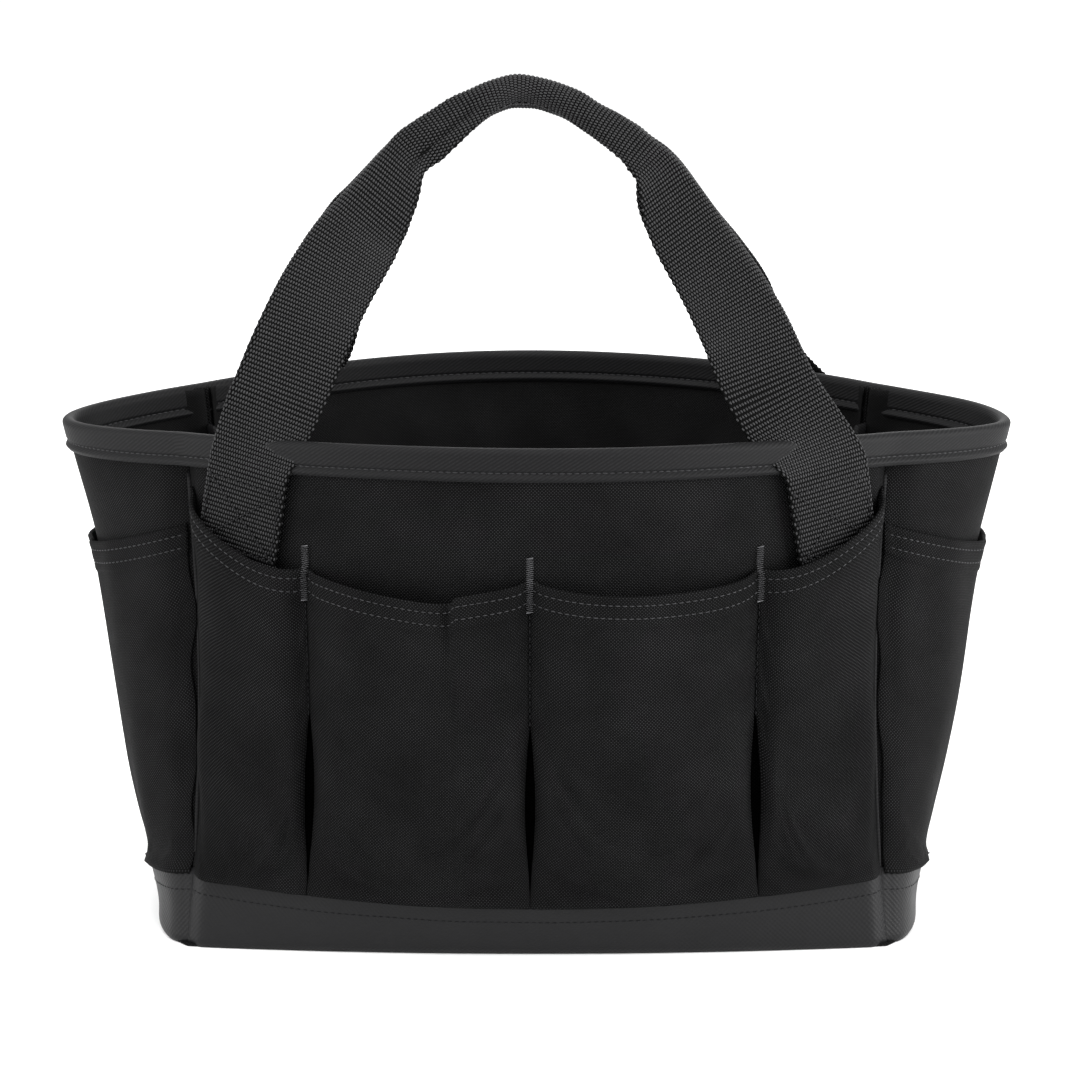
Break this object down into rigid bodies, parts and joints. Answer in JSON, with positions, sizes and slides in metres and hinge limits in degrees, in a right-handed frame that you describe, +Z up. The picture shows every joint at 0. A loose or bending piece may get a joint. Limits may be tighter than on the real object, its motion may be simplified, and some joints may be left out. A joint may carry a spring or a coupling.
{
  "type": "tool storage caddy",
  "caption": "Open-top fabric tool caddy with a lens-shaped mouth, pockets all round the outside and two webbing handles with rolled grips.",
  "frame": {"origin": "on the floor under the middle of the caddy", "axes": "+X to the object's right along its length, +Y to its back, +Z up"},
  "size_m": [0.405, 0.2522, 0.3623],
  "materials": {
    "body_cloth": "black coarse basket-weave polyester, matt",
    "lining_cloth": "black plain-weave lining, slightly creased",
    "coated_cloth": "dark grey coated cloth, satin, finely embossed",
    "webbing": "black heavy plain-weave webbing",
    "twill_tape": "black twill binding tape",
    "thread": "dark grey bonded thread",
    "base_board": "black extruded sheet",
    "grip_core": "black foam cord"
  },
  "bodies": {
    "root": {"front_panel": "body_cloth", "front_lining": "lining_cloth", "front_base_band": "coated_cloth", "front_left_outer_pocket": "body_cloth", "front_left_middle_pocket": "body_cloth", "front_right_middle_pocket": "body_cloth", "front_right_outer_pocket": "body_cloth", "front_bar_tacks": "thread", "front_box_stitches": "thread", "front_handle_left_tail": "webbing", "front_left_seam_binding": "twill_tape", "front_handle_right_tail": "webbing", "front_right_seam_binding": "twill_tape", "back_panel": "body_cloth", "back_lining": "lining_cloth", "back_base_band": "coated_cloth", "back_left_outer_pocket": "body_cloth", "back_left_middle_pocket": "body_cloth", "back_right_middle_pocket": "body_cloth", "back_right_outer_pocket": "body_cloth", "back_bar_tacks": "thread", "back_box_stitches": "thread", "back_handle_left_tail": "webbing", "back_left_seam_binding": "twill_tape", "back_handle_right_tail": "webbing", "back_right_seam_binding": "twill_tape", "left_end_panel": "body_cloth", "left_end_lining": "lining_cloth", "left_end_base_band": "coated_cloth", "left_end_pocket": "body_cloth", "right_end_panel": "body_cloth", "right_end_lining": "lining_cloth", "right_end_base_band": "coated_cloth", "right_end_pocket": "body_cloth", "bottom_panel": "coated_cloth", "base_board": "base_board", "bottom_lining": "lining_cloth", "rim_binding": "twill_tape", "bottom_seam_binding": "twill_tape"},
    "front_handle": {"front_handle_left_leg": "webbing", "front_handle_right_leg": "webbing", "front_handle_grip": "webbing", "front_grip_core": "grip_core"},
    "back_handle": {"back_handle_left_leg": "webbing", "back_handle_right_leg": "webbing", "back_handle_grip": "webbing", "back_grip_core": "grip_core"}
  },
  "joints": [
    {"name": "front_handle_fold", "type": "hinge", "parent": "root", "child": "front_handle", "pos_m": [0, -0.08919, 0.22238], "axis": [1, 0, 0], "range_deg": [0, 170]},
    {"name": "back_handle_fold", "type": "hinge", "parent": "root", "child": "back_handle", "pos_m": [0, 0.08919, 0.22238], "axis": [-1, 0, 0], "range_deg": [0, 170]}
  ]
}
